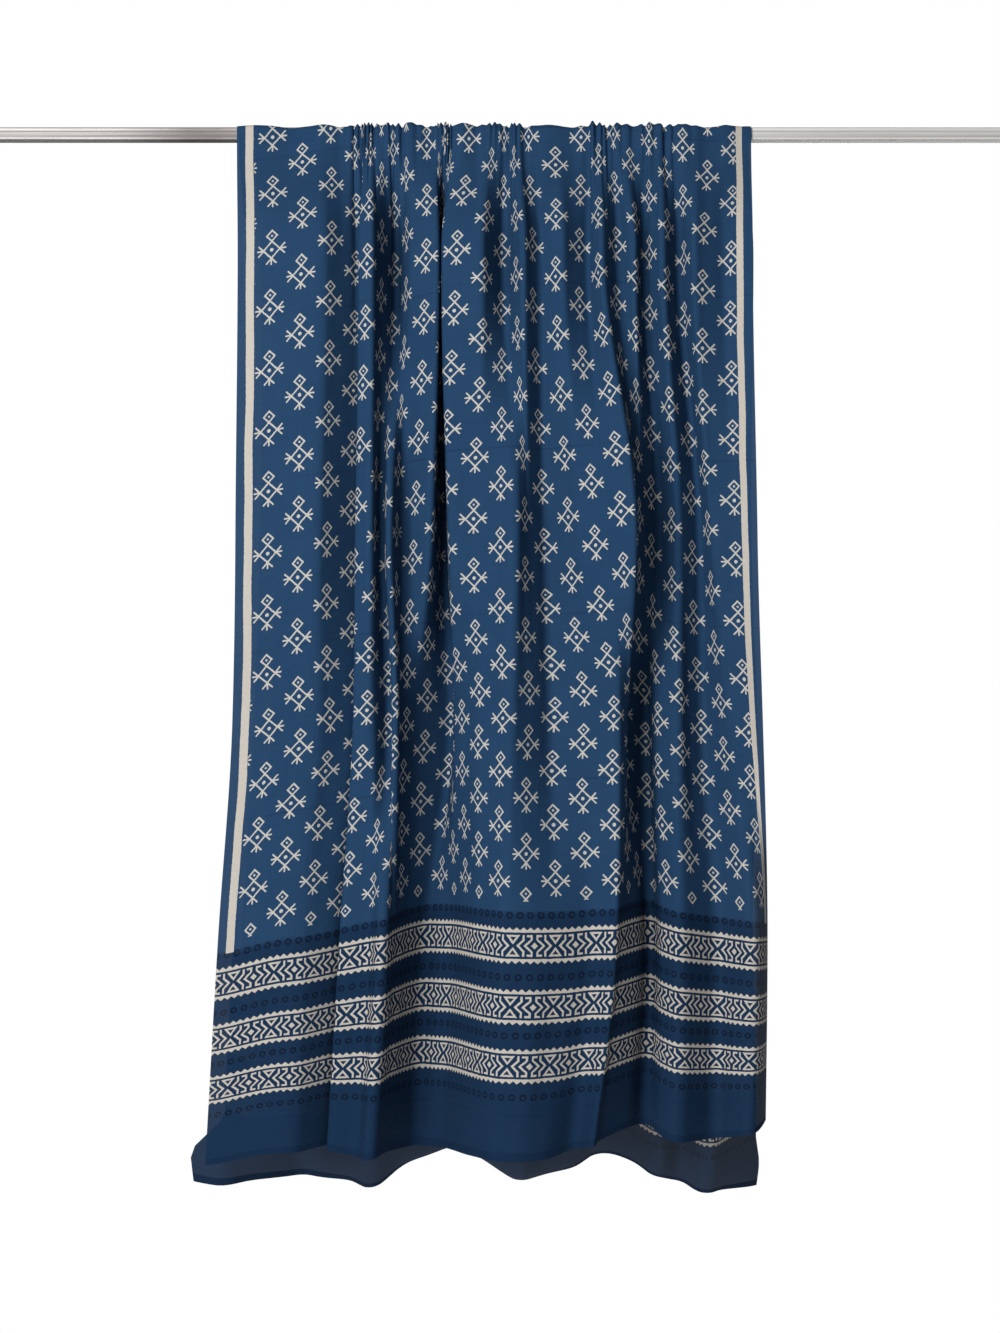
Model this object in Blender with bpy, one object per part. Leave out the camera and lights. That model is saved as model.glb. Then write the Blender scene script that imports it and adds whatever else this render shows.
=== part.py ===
"""Printed cotton dupatta hung over a square bar.

Metres, +Z up. X runs along the bar, the front of the cloth faces -Y, and the origin is the middle of
the bar's left end face. The cloth is one sheet. Across its width it is worked out as a length of cloth
that turns left and right in plan, so its folds never stretch it; down its length it hangs from the bar.
"""

import bpy
import numpy as np

# ---- bar ----
BAR_LENGTH = 1.400
BAR_SIDE = 0.015
BAR_CORNER = 0.0015

# ---- cloth ----
CLOTH_WIDTH = 1.051
CLOTH_LENGTH = 2.540
CLOTH_THICK = 0.0015
SEAT_GAP = 0.0003       # between the bar's top and the cloth
SIDE_GAP = 0.0023       # between the bar's sides and the cloth
CLOTH_MIDDLE = BAR_LENGTH / 2
BORDER_TOP = 0.272      # from the front hem up to the top of the printed border
LIFT_FROM = 0.300       # how far above the front hem it starts to lift, and above the back hem to swing out
SWING_FROM = 0.130
SWING = 55              # mm that the back hem swings out
EDGE_FLAT = 4.5         # mm from the bar's middle to where the cloth starts to bend over its edge

# heights, in metres below the bar, of the five rows that the fold table describes
LEVELS = (0.145, 0.480, 0.690, 0.940, 1.200)
EASES = (14, 16, 22, 30, 38)    # mm of cloth taken by a fold's bend at each of them

# One row a fold line of the front. At each of the five heights: how far across the cloth the line lies,
# where it hangs from the middle of the bar (both mm), and which way the cloth heads to reach it from the
# line before: 1 to the back, -1 to the front, 0 flat.
FRONT_FOLDS = (
    ((0, -304, 0),     (0, -305, 0),     (0, -311, 0),     (0, -330, 0),     (0, -344, 0)),
    ((105, -201, -1),  (100, -207, -1),  (102, -210, -1),  (105, -227, -1),  (105, -240, -1)),
    ((148, -168, 1),   (148, -173, 1),   (147, -173, 1),   (146, -193, 1),   (146, -210, 1)),
    ((178, -163, 1),   (184, -168, 1),   (195, -168, 1),   (198, -188, 1),   (198, -205, 1)),
    ((207, -158, -1),  (219, -162, -1),  (244, -163, -1),  (250, -183, -1),  (250, -199, -1)),
    ((229, -147, -1),  (246, -148, -1),  (270, -149, -1),  (288, -153, -1),  (288, -169, -1)),
    ((262, -137, 1),   (278, -138, 1),   (303, -129, 1),   (320, -135, -1),  (320, -150, -1)),
    ((300, -122, 1),   (308, -127, -1),  (335, -121, -1),  (345, -124, 1),   (345, -138, 1)),
    ((345, -104, -1),  (350, -113, 1),   (358, -117, 1),   (365, -117, 1),   (365, -130, 1)),
    ((385, -71, -1),   (395, -80, -1),   (393, -99, 1),    (390, -107, 1),   (390, -119, 1)),
    ((442, -71, 1),    (455, -66, 1),    (446, -58, 1),    (421, -87, 1),    (421, -99, 1)),
    ((494, -67, -1),   (520, -58, -1),   (498, -54, -1),   (470, -56, -1),   (470, -68, -1)),
    ((545, -20, -1),   (560, -20, -1),   (551, -26, -1),   (540, -29, -1),   (540, -40, -1)),
    ((590, 5, 1),      (605, 18, -1),    (602, 14, -1),    (597, 4, -1),     (597, -8, -1)),
    ((640, 27, -1),    (632, 34, 1),     (631, 37, 1),     (630, 37, -1),    (630, 23, -1)),
    ((672, 47, 1),     (660, 53, 1),     (660, 60, 1),     (660, 66, 1),     (660, 51, 1)),
    ((705, 72, -1),    (712, 93, -1),    (707, 104, -1),   (700, 104, 1),    (700, 82, 1)),
    ((745, 102, 1),    (750, 123, -1),   (742, 136, -1),   (731, 130, -1),   (731, 101, -1)),
    ((775, 117, -1),   (785, 152, -1),   (764, 147, 1),    (745, 136, 1),    (745, 107, 1)),
    ((808, 137, 1),    (830, 157, 1),    (812, 148, 1),    (795, 161, 1),    (795, 144, 1)),
    ((835, 155, -1),   (862, 168, 1),    (845, 173, 1),    (830, 175, 1),    (830, 168, 1)),
    ((868, 168, 1),    (890, 186, 1),    (878, 182, -1),   (862, 186, -1),   (862, 181, -1)),
    ((905, 187, -1),   (925, 206, -1),   (912, 207, -1),   (893, 205, -1),   (893, 200, -1)),
    ((940, 208, 1),    (962, 233, 1),    (957, 238, 1),    (950, 252, 1),    (950, 247, 1)),
    ((975, 223, -1),   (995, 244, -1),   (1000, 263, -1),  (1003, 289, -1),  (1003, 282, -1)),
    ((1015, 259, 1),   (1022, 269, -1),  (1027, 285, -1),  (1030, 304, 1),   (1030, 298, 1)),
    ((1051, 289, -1),  (1051, 292, -1),  (1051, 299, -1),  (1051, 310, 1),   (1051, 305, 1)),
)

# The back layer's fold lines, as above, at the same five heights.
BACK_FOLDS = (
    ((0, -303, 0),     (0, -310, 0),     (0, -315, 0),     (0, -331, 0),     (0, -346, 0)),
    ((50, -257, -1),   (50, -265, -1),   (50, -277, -1),   (50, -297, -1),   (50, -312, -1)),
    ((105, -210, 1),   (105, -218, 1),   (105, -237, 1),   (105, -256, 1),   (105, -272, 1)),
    ((150, -186, -1),  (150, -190, -1),  (150, -204, -1),  (150, -222, 1),   (150, -240, 1)),
    ((195, -163, 1),   (195, -163, 1),   (195, -178, 1),   (195, -196, -1),  (195, -214, -1)),
    ((245, -142, -1),  (245, -136, -1),  (245, -148, -1),  (245, -166, -1),  (245, -184, -1)),
    ((290, -120, 1),   (290, -112, 1),   (290, -122, 1),   (290, -140, -1),  (290, -158, -1)),
    ((340, -91, -1),   (340, -80, -1),   (340, -91, -1),   (340, -106, 1),   (340, -123, 1)),
    ((385, -66, 1),    (385, -52, 1),    (385, -64, 1),    (385, -75, 1),    (385, -92, 1)),
    ((430, -48, -1),   (430, -34, -1),   (430, -36, -1),   (430, -44, 1),    (430, -60, 1)),
    ((480, -19, 1),    (480, -2, 1),     (480, -10, 1),    (480, -18, -1),   (480, -31, -1)),
    ((530, 12, -1),    (530, 29, -1),    (530, 15, -1),    (530, 8, -1),     (530, -1, -1)),
    ((575, 32, 1),     (575, 48, 1),     (575, 38, 1),     (575, 32, -1),    (575, 25, -1)),
    ((625, 63, -1),    (625, 81, -1),    (625, 66, -1),    (625, 64, 1),     (625, 59, 1)),
    ((672, 90, 1),     (672, 107, 1),    (672, 93, 1),     (672, 94, 1),     (672, 92, 1)),
    ((720, 113, -1),   (720, 130, -1),   (720, 120, -1),   (720, 124, 1),    (720, 125, 1)),
    ((775, 145, 1),    (775, 154, 1),    (775, 152, 1),    (775, 158, -1),   (775, 159, -1)),
    ((830, 178, -1),   (830, 185, -1),   (830, 184, -1),   (830, 191, -1),   (830, 194, -1)),
    ((880, 202, 1),    (880, 207, 1),    (880, 214, 1),    (880, 222, 1),    (880, 225, 1)),
    ((930, 236, -1),   (930, 240, -1),   (930, 243, -1),   (930, 252, -1),   (930, 256, -1)),
    ((990, 262, 1),    (990, 265, 1),    (990, 277, 1),    (990, 284, 1),    (990, 290, 1)),
    ((1051, 300, -1),  (1051, 304, -1),  (1051, 311, -1),  (1051, 317, 1),   (1051, 324, 1)),
)

# mm from the bar's middle plane to the left edge of each layer at the five heights
FRONT_LEAN = (-40.0, -52.0, -34.0, -16.0, -22.0)
BACK_LEAN = (34.0, 74.0, 90.0, 118.0, 134.0)

# Across the cloth, where that line of it crosses the bar, from the middle, and how far the gathers lift
# it off the bar (all mm).
ON_BAR = (
    (0, -309, 0.0), (105, -208, 0.3), (148, -172, 1.6), (178, -163, 0.2), (207, -158, 2.2), (225, -151, 0.4),
    (262, -139, 2.6), (300, -125, 0.5), (345, -105, 2.8), (385, -76, 0.2), (442, -65, 2.8), (494, -55, 0.6),
    (545, -13, 3.0), (590, 5, 0.4), (640, 21, 1.4), (672, 39, 0.2), (705, 71, 1.0), (745, 103, 0.2),
    (775, 117, 2.6), (808, 133, 0.5), (835, 146, 3.2), (868, 168, 0.5), (905, 188, 2.8), (940, 203, 0.3),
    (975, 232, 1.6), (1015, 264, 0.2), (1051, 295, 0.0),
)

# Across the cloth (mm): length of cloth in front of the bar; then at the front and at the back how far the
# border hangs lower than its length gives and how far the hem curls up; and how far the back hem swings
# to the right (all mm).
DROP = (
    (0, 1256, 15, 43, 0, -20, -48),
    (75, 1245, 5, 40, 0, -2, -30),
    (150, 1235, 7, 34, 0, 0, -14),
    (250, 1232, 8, 30, 0, 19, -4),
    (288, 1231, -1, 12, 0, 17, 0),
    (345, 1227, -6, 9, 0, 44, 0),
    (421, 1221, -3, -2, 0, 54, 0),
    (480, 1218, -6, 2, 0, 60, 0),
    (530, 1216, -7, 5, 0, 50, 0),
    (597, 1214, -7, 9, 0, 50, 0),
    (680, 1214, -5, 13, -12, 35, 0),
    (745, 1214, -12, 19, -33, 29, 0),
    (795, 1208, -8, 19, -30, 37, 0),
    (893, 1223, -11, 28, 5, 26, 0),
    (950, 1227, -5, 32, 8, 24, 0),
    (1003, 1230, -9, 47, 8, 11, 4),
    (1051, 1230, -3, 59, 4, -1, 8),
)

COLUMNS_A_FOLD = 3
FRONT_ROWS = 14         # rows of points in front, below the ones that follow the bar
BACK_ROWS = 11          # and behind
ROW_CROWDING = 1.15     # above 1 crowds those rows towards the bar
BAR_STEPS = (0.0, 4.5, 7.2, 9.9, 12.6, 30.0)   # mm of cloth from the bar's top to each row that follows it


def smooth_across(values, ease):
    """A running average, weighted to its middle, over this many mm of cloth."""
    weights = np.hanning(ease + 3)[1:-1]
    weights /= weights.sum()
    half = len(weights) // 2
    return np.convolve(np.pad(values, half, mode="edge"), weights, mode="valid")[:len(values)]


def fold_headings(lines, ease):
    """The heading, in degrees, at each mm across the cloth at one height.

    Between two fold lines the cloth heads by the angle whose cosine is the share of its length that it
    covers along the bar. The bends are then eased, and the angles corrected until the lines are in place.
    """
    across, place, way = np.array(lines, float).T
    at = np.arange(0.0, across[-1] + 1.0)
    share = np.diff(place) / np.diff(across)
    aim = share.copy()
    span = np.clip(np.searchsorted(across, at, side="right") - 1, 0, len(share) - 1)
    for _ in range(60):
        angle = np.degrees(np.arccos(np.clip(aim, -0.9995, 0.99995))) * way[1:]
        heading = smooth_across(angle[span], ease)
        got = np.diff(np.interp(across, at, walked(np.cos(np.radians(heading)), at)))
        aim = np.clip(aim + 0.5 * (share - got / np.diff(across)), -0.9995, 0.99995)
    return at, heading


def walked(rate, at):
    """The running sum of a rate over the places it is given at."""
    steps = (rate[1:] + rate[:-1]) / 2 * np.diff(at)
    return np.concatenate([[0.0], np.cumsum(steps)])


def blend_levels(values, depth):
    """Values given at LEVELS, at any depths: a smooth curve down each column that never overshoots them."""
    levels = np.array(LEVELS)
    rise = np.diff(values, axis=0) / np.diff(levels)[:, None]
    slope = np.zeros_like(values)
    both = rise[:-1] * rise[1:]
    mean = 2 * both / np.where(both > 0, rise[:-1] + rise[1:], 1)
    slope[1:-1] = np.where(both > 0, mean, 0)
    slope[-1] = rise[-1]
    depth = np.clip(depth, levels[0], levels[-1])
    cell = np.clip(np.searchsorted(levels, depth, side="right") - 1, 0, len(rise) - 1)
    size = np.diff(levels)[cell]
    t = (depth - levels[cell]) / size
    column = np.arange(values.shape[1])
    return (
        (1 + 2 * t) * (1 - t) ** 2 * values[cell, column]
        + t * (1 - t) ** 2 * size * slope[cell, column]
        + t * t * (3 - 2 * t) * values[cell + 1, column]
        + t * t * (t - 1) * size * slope[cell + 1, column]
    )


def folded_layer(folds, leans, column=None, across=None):
    """Across, x and y (mm) of one layer at each of LEVELS, walked along its headings from the left edge.

    Its columns follow the fold lines, or else they keep to fixed places across the cloth.
    """
    layers = []
    for level, (lean, ease) in enumerate(zip(leans, EASES)):
        lines = [row[level] for row in folds]
        at, heading = fold_headings(lines, ease)
        place = across
        if across is None:
            place = np.interp(column, np.arange(len(folds)), [line[0] for line in lines])
        x = lines[0][1] + walked(np.cos(np.radians(heading)), at)
        y = lean + walked(np.sin(np.radians(heading)), at)
        layers.append((place, np.interp(place, at, x), np.interp(place, at, y)))
    return [np.array(values) for values in zip(*layers)]


def over_bar(length):
    """y and z (mm) of the cloth's middle at this length from the bar's top: flat, round the edge, down."""
    half = BAR_SIDE * 500
    top = half + (SEAT_GAP + CLOTH_THICK / 2) * 1000
    side = half + (SIDE_GAP + CLOTH_THICK / 2) * 1000
    turn = np.linspace(0, np.pi / 2, 41)
    y = np.concatenate([[0], EDGE_FLAT + (side - EDGE_FLAT) * np.sin(turn), [side]])
    z = np.concatenate([[top], EDGE_FLAT + (top - EDGE_FLAT) * np.cos(turn), [EDGE_FLAT - 2000]])
    run = np.concatenate([[0], np.cumsum(np.hypot(np.diff(y), np.diff(z)))])
    return np.interp(length, run, y), np.interp(length, run, z)


def eased(value):
    """0 to 1 as the value goes 0 to 1, level at both ends."""
    value = np.clip(value, 0, 1)
    return value * value * (3 - 2 * value)


def hem_table():
    """The rows of DROP at each mm across the cloth, with their corners smoothed, under a row of the places."""
    table = np.array(DROP, float).T
    at = np.arange(0.0, table[0, -1] + 1.0)
    return np.array([at, *[smooth_across(np.interp(at, table[0], row), 70) for row in table[1:]]])


def hung_layer(folds, leans, front, column, share):
    """Mid surface (mm) of the cloth on one side of the bar, as across, along, x, y and z [row, column].

    Its rows are those of BAR_STEPS and then one for each share of the way from there to the hem.
    """
    bar_across, bar_x, bar_lift = np.array(ON_BAR, float).T
    at_bar = np.interp(column, np.arange(len(bar_across)), bar_across)
    levels = folded_layer(folds, leans, column if front else None, None if front else at_bar)
    table = hem_table()
    side = -1 if front else 1
    reach = (LIFT_FROM if front else SWING_FROM) * 1000
    steps = np.array(BAR_STEPS)[:, None]
    across = np.repeat(at_bar[None, :], len(steps) + len(share), axis=0)
    for _ in range(3):
        length, *both, sideways = [np.interp(across, table[0], row) for row in table[1:]]
        drop = length if front else CLOTH_LENGTH * 1000 - length
        sag, curl = both[:2] if front else both[2:]
        below = steps[-1] + share[:, None] * (drop[len(steps):] - steps[-1])
        run = np.concatenate([np.repeat(steps, below.shape[1], axis=1), below])
        out, z = over_bar(run)
        near_hem = np.clip(1 - (drop - run) / reach, 0, 1) ** 2
        z = z + curl * near_hem
        z = z - sag * np.clip(run / (drop - BORDER_TOP * 1000), 0, 1) ** 2
        depth = -z / 1000
        across = blend_levels(levels[0], depth)
    hanging = eased((depth - BAR_SIDE * 0.7) / (LEVELS[0] - BAR_SIDE * 0.7))
    lift = np.interp(at_bar, bar_across, bar_lift)
    rounding = out / out.max()
    x = np.interp(at_bar, bar_across, bar_x) * (1 - hanging) + blend_levels(levels[1], depth) * hanging
    y = side * (out + lift * rounding) * (1 - hanging) + blend_levels(levels[2], depth) * hanging
    if not front:
        x = x + sideways * near_hem
        y = y + SWING * near_hem
    z = z + lift * (1 - rounding)
    along = length - run if front else length + run
    return np.array([across, along, x, y, z])


def cloth_middle():
    """Mid surface of the whole cloth: rows from the front hem, over the bar, to the back hem."""
    column = np.linspace(0, len(FRONT_FOLDS) - 1, (len(FRONT_FOLDS) - 1) * COLUMNS_A_FOLD + 1)
    share_front = np.linspace(0, 1, FRONT_ROWS + 1)[1:] ** ROW_CROWDING
    share_back = np.linspace(0, 1, BACK_ROWS + 1)[1:] ** ROW_CROWDING
    front = hung_layer(FRONT_FOLDS, FRONT_LEAN, True, column, share_front)
    back = hung_layer(BACK_FOLDS, BACK_LEAN, False, column, share_back)
    return np.concatenate([front[:, ::-1], back[:, 1:]], axis=1)


def thick_sheet(middle, thick):
    """Closed sheet: the mid surface moved half a thickness each way along its normals, and its four edges."""
    rows, columns = middle.shape[:2]
    normal = np.cross(np.gradient(middle, axis=1), np.gradient(middle, axis=0))
    normal /= np.linalg.norm(normal, axis=2, keepdims=True)
    points = np.concatenate([middle + normal * thick / 2, middle - normal * thick / 2]).reshape(-1, 3)
    place = np.arange(rows * columns).reshape(rows, columns)
    near, far = place[:-1, :-1].ravel(), place[1:, 1:].ravel()
    outer = np.concatenate([
        np.stack([near, place[:-1, 1:].ravel(), far], axis=1),
        np.stack([near, far, place[1:, :-1].ravel()], axis=1),
    ])
    rim = np.concatenate([place[0, :-1], place[:-1, -1], place[-1, :0:-1], place[:0:-1, 0]])
    after = np.roll(rim, -1)
    under = rows * columns
    edge = np.concatenate([
        np.stack([after, rim, rim + under], axis=1),
        np.stack([after, rim + under, after + under], axis=1),
    ])
    return points, np.concatenate([outer, outer[:, ::-1] + under, edge])


def solid_object(name, points, faces, material):
    """A mesh object of these points (metres) and faces, with its material."""
    mesh = bpy.data.meshes.new(name)
    mesh.from_pydata([tuple(point) for point in points], [], [tuple(map(int, face)) for face in faces])
    mesh.materials.append(material)
    mesh.update()
    made = bpy.data.objects.new(name, mesh)
    bpy.context.scene.collection.objects.link(made)
    return made


def plain_material(name, colour, roughness, metallic):
    """A Principled material of one colour."""
    material = bpy.data.materials.new(name)
    material.use_nodes = True
    surface = material.node_tree.nodes["Principled BSDF"].inputs
    surface["Base Color"].default_value = (*colour, 1)
    surface["Roughness"].default_value = roughness
    surface["Metallic"].default_value = metallic
    return material


def build_dupatta():
    """The printed cotton cloth, one sheet from its front hem over the bar to its back hem."""
    middle = np.moveaxis(cloth_middle()[2:], 0, 2) / 1000
    middle[:, :, 0] += CLOTH_MIDDLE
    points, faces = thick_sheet(middle, CLOTH_THICK)
    cotton = plain_material("indigo_cotton", (0.03, 0.07, 0.15), 0.9, 0.0)
    return solid_object("dupatta", points, faces, cotton)


def build_bar():
    """The straight square bar, with slightly rounded edges and flat ends."""
    turn = np.linspace(0, np.pi / 2, 4)
    flat = BAR_SIDE / 2 - BAR_CORNER
    corner = np.concatenate([turn + quarter * np.pi / 2 for quarter in range(4)])
    middle = flat * np.sqrt(2) * np.exp(1j * np.repeat(np.pi / 4 + np.arange(4) * np.pi / 2, 4))
    outline = middle + BAR_CORNER * np.exp(1j * corner)
    count = len(outline)
    left = np.stack([np.zeros(count), outline.real, outline.imag], axis=1)
    points = np.concatenate([left, left + (BAR_LENGTH, 0, 0)])
    ring = np.arange(count)
    after = np.roll(ring, -1)
    sides = np.stack([ring, after, after + count, ring + count], axis=1)
    faces = [*sides, ring[::-1], ring + count]
    steel = plain_material("brushed_steel", (0.62, 0.60, 0.57), 0.35, 1.0)
    return solid_object("bar", points, faces, steel)


for old in list(bpy.data.objects):
    bpy.data.objects.remove(old)
build_dupatta()
build_bar()
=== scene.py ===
"""Printed cotton dupatta hung over a square steel bar.

The cloth is one sheet. Across its width it turns left and right in plan, so that its folds keep the
cloth's true width, and down its length it hangs from the bar; the print is worked out in the material,
on the flat cloth's own measures.
"""

import bpy
import numpy as np
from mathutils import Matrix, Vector


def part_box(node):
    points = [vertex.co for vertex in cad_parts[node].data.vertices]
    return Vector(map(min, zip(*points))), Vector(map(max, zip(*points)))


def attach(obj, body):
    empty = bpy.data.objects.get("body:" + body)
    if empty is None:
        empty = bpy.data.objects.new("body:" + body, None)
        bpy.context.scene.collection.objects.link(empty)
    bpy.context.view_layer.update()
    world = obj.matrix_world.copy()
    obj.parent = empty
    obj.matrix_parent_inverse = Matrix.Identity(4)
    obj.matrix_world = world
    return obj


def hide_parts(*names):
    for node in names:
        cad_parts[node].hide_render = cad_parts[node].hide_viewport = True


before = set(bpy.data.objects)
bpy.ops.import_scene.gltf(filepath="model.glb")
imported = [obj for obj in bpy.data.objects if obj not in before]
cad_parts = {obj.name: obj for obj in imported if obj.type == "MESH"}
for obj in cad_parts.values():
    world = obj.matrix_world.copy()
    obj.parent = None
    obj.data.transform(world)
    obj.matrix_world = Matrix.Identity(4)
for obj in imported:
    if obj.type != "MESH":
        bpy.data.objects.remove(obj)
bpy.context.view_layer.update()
BAR_LOW, BAR_HIGH = [np.array(corner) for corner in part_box("bar")]
BAR_MIDDLE = (BAR_LOW + BAR_HIGH) / 2
BAR_SIDE = float(BAR_HIGH[2] - BAR_LOW[2])
BAR_MIDDLE_MM = float(BAR_MIDDLE[0]) * 1000

# ---- the cloth and its hang: metres, unless a comment says mm ----
CLOTH_LENGTH = 2.540
CLOTH_THICK = 0.0015
SEAT_GAP = 0.0003       # between the cloth and the top of the bar
SIDE_GAP = 0.0023       # between the cloth and the bar's front and back
EDGE_FLAT = 4.5         # mm from the bar's middle to where the cloth starts to bend over its edge
BORDER_TOP = 0.272      # from the hem up to the top of its border
LIFT_FROM = 0.300       # how far above the front hem the cloth starts to lift
SWING_FROM = 0.130      # how far above the back hem it starts to swing out
SWING = 55              # mm that the back hem swings out
SWAY_FROM = 0.35        # the share of that way down where it starts to swing sideways
SWAY_OVER = 0.42        # and the share over which it does
HEM_EASE = 70           # mm of cloth over which the hem's table is smoothed
HANG_FROM = 0.7         # shares of the bar's side below its middle, where the folds start to form

# Heights, in metres below the bar, of the five rows that the fold tables describe, and the mm of cloth that
# a fold's bend takes at each of them.
LEVELS = (0.145, 0.480, 0.690, 0.940, 1.200)
EASES = (14, 16, 22, 30, 38)
# Between these two places across the front (mm) a bend takes less: CRISP_EASE mm of cloth, reached over
# CRISP_FADE mm on each side.
CRISP = (716, 766)
CRISP_EASE = 12
CRISP_FADE = 15
# How often the headings are corrected, by what share of the fault, and the least and most that the cloth may
# cover along the bar, as shares of its own length.
WALKS = 60
WALK_SHARE = 0.5
WALK_LEAST = -0.9995
WALK_MOST = 0.99995

# One row a fold line of the front. At each of the five heights: how far across the cloth the line lies,
# where it hangs from the middle of the bar (both mm), and which way the cloth heads to reach it from the
# line before: 1 to the back, -1 to the front, 0 flat.
FRONT_FOLDS = (
    ((0, -304, 0),     (0, -305, 0),     (0, -311, 0),     (0, -330, 0),     (0, -344, 0)),
    ((105, -201, -1),  (100, -207, -1),  (102, -210, -1),  (105, -227, -1),  (105, -240, -1)),
    ((148, -168, 1),   (148, -173, 1),   (147, -173, 1),   (146, -193, 1),   (146, -210, 1)),
    ((177, -143, 1),   (184, -145, 1),   (195, -138, 1),   (198, -157, 1),   (198, -173, 1)),
    ((207, -164, -1),  (219, -168, -1),  (244, -172, -1),  (250, -188, -1),  (250, -204, -1)),
    ((229, -147, -1),  (246, -148, -1),  (270, -149, -1),  (288, -153, -1),  (288, -169, -1)),
    ((262, -137, 1),   (278, -138, 1),   (303, -129, 1),   (320, -135, -1),  (320, -150, -1)),
    ((300, -122, 1),   (308, -127, -1),  (335, -121, -1),  (345, -124, 1),   (345, -138, 1)),
    ((345, -104, -1),  (350, -113, 1),   (358, -117, 1),   (365, -117, 1),   (365, -130, 1)),
    ((385, -71, -1),   (395, -80, -1),   (393, -99, 1),    (390, -107, 1),   (390, -119, 1)),
    ((442, -71, 1),    (455, -66, 1),    (446, -58, 1),    (421, -87, 1),    (421, -99, 1)),
    ((494, -67, -1),   (520, -58, -1),   (498, -54, -1),   (470, -56, -1),   (470, -68, -1)),
    ((545, -20, -1),   (560, -20, -1),   (551, -26, -1),   (540, -29, -1),   (540, -40, -1)),
    ((590, 5, 1),      (605, 18, -1),    (602, 14, -1),    (597, 4, -1),     (597, -8, -1)),
    ((640, 27, -1),    (632, 34, 1),     (631, 37, 1),     (630, 37, -1),    (630, 23, -1)),
    ((672, 47, 1),     (660, 53, 1),     (660, 60, 1),     (660, 66, 1),     (660, 51, 1)),
    ((705, 72, -1),    (712, 93, -1),    (707, 104, -1),   (700, 104, 1),    (700, 82, 1)),
    ((745, 102, 1),    (750, 123, -1),   (742, 136, -1),   (731, 130, -1),   (731, 101, -1)),
    ((775, 117, -1),   (785, 152, -1),   (764, 147, 1),    (745, 136, 1),    (745, 107, 1)),
    ((808, 137, 1),    (830, 157, 1),    (812, 148, 1),    (795, 161, 1),    (795, 144, 1)),
    ((835, 155, -1),   (862, 168, 1),    (845, 173, 1),    (830, 175, 1),    (830, 168, 1)),
    ((868, 168, 1),    (890, 186, 1),    (878, 182, -1),   (862, 186, -1),   (862, 181, -1)),
    ((905, 187, -1),   (925, 206, -1),   (912, 207, -1),   (893, 205, -1),   (893, 200, -1)),
    ((940, 208, 1),    (962, 233, 1),    (957, 238, 1),    (950, 252, 1),    (950, 247, 1)),
    ((975, 223, -1),   (995, 244, -1),   (1000, 263, -1),  (1003, 289, -1),  (1003, 282, -1)),
    ((1015, 259, 1),   (1022, 269, -1),  (1027, 285, -1),  (1030, 304, 1),   (1030, 298, 1)),
    ((1051, 289, -1),  (1051, 292, -1),  (1051, 299, -1),  (1051, 310, 1),   (1051, 305, 1)),
)

# The back layer's fold lines, as above, at the same five heights.
BACK_FOLDS = (
    ((0, -303, 0),     (0, -310, 0),     (0, -315, 0),     (0, -331, 0),     (0, -346, 0)),
    ((50, -257, -1),   (50, -265, -1),   (50, -277, -1),   (50, -297, -1),   (50, -312, -1)),
    ((105, -210, 1),   (105, -218, 1),   (105, -237, 1),   (105, -256, 1),   (105, -272, 1)),
    ((150, -186, -1),  (150, -190, -1),  (150, -204, -1),  (150, -222, 1),   (150, -240, 1)),
    ((195, -163, 1),   (195, -163, 1),   (195, -178, 1),   (195, -196, -1),  (195, -214, -1)),
    ((245, -142, -1),  (245, -136, -1),  (245, -148, -1),  (245, -166, -1),  (245, -184, -1)),
    ((290, -120, 1),   (290, -112, 1),   (290, -122, 1),   (290, -140, -1),  (290, -158, -1)),
    ((340, -91, -1),   (340, -80, -1),   (340, -91, -1),   (340, -106, 1),   (340, -123, 1)),
    ((385, -66, 1),    (385, -52, 1),    (385, -64, 1),    (385, -75, 1),    (385, -92, 1)),
    ((430, -48, -1),   (430, -34, -1),   (430, -36, -1),   (430, -44, 1),    (430, -60, 1)),
    ((480, -19, 1),    (480, -2, 1),     (480, -10, 1),    (480, -18, -1),   (480, -31, -1)),
    ((530, 12, -1),    (530, 29, -1),    (530, 15, -1),    (530, 8, -1),     (530, -1, -1)),
    ((575, 32, 1),     (575, 48, 1),     (575, 38, 1),     (575, 32, -1),    (575, 25, -1)),
    ((625, 63, -1),    (625, 81, -1),    (625, 66, -1),    (625, 64, 1),     (625, 59, 1)),
    ((672, 90, 1),     (672, 107, 1),    (672, 93, 1),     (672, 94, 1),     (672, 92, 1)),
    ((720, 113, -1),   (720, 130, -1),   (720, 120, -1),   (720, 124, 1),    (720, 125, 1)),
    ((775, 145, 1),    (775, 154, 1),    (775, 152, 1),    (775, 158, -1),   (775, 159, -1)),
    ((830, 178, -1),   (830, 185, -1),   (830, 184, -1),   (830, 191, -1),   (830, 194, -1)),
    ((880, 202, 1),    (880, 207, 1),    (880, 214, 1),    (880, 222, 1),    (880, 225, 1)),
    ((930, 236, -1),   (930, 240, -1),   (930, 243, -1),   (930, 252, -1),   (930, 256, -1)),
    ((990, 262, 1),    (990, 265, 1),    (990, 277, 1),    (990, 284, 1),    (990, 290, 1)),
    ((1051, 300, -1),  (1051, 304, -1),  (1051, 311, -1),  (1051, 317, 1),   (1051, 324, 1)),
)

# mm from the bar's middle plane to the left edge of each layer at the five heights
FRONT_LEAN = (-40.0, -52.0, -34.0, -16.0, -22.0)
BACK_LEAN = (34.0, 74.0, 90.0, 118.0, 134.0)

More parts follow.
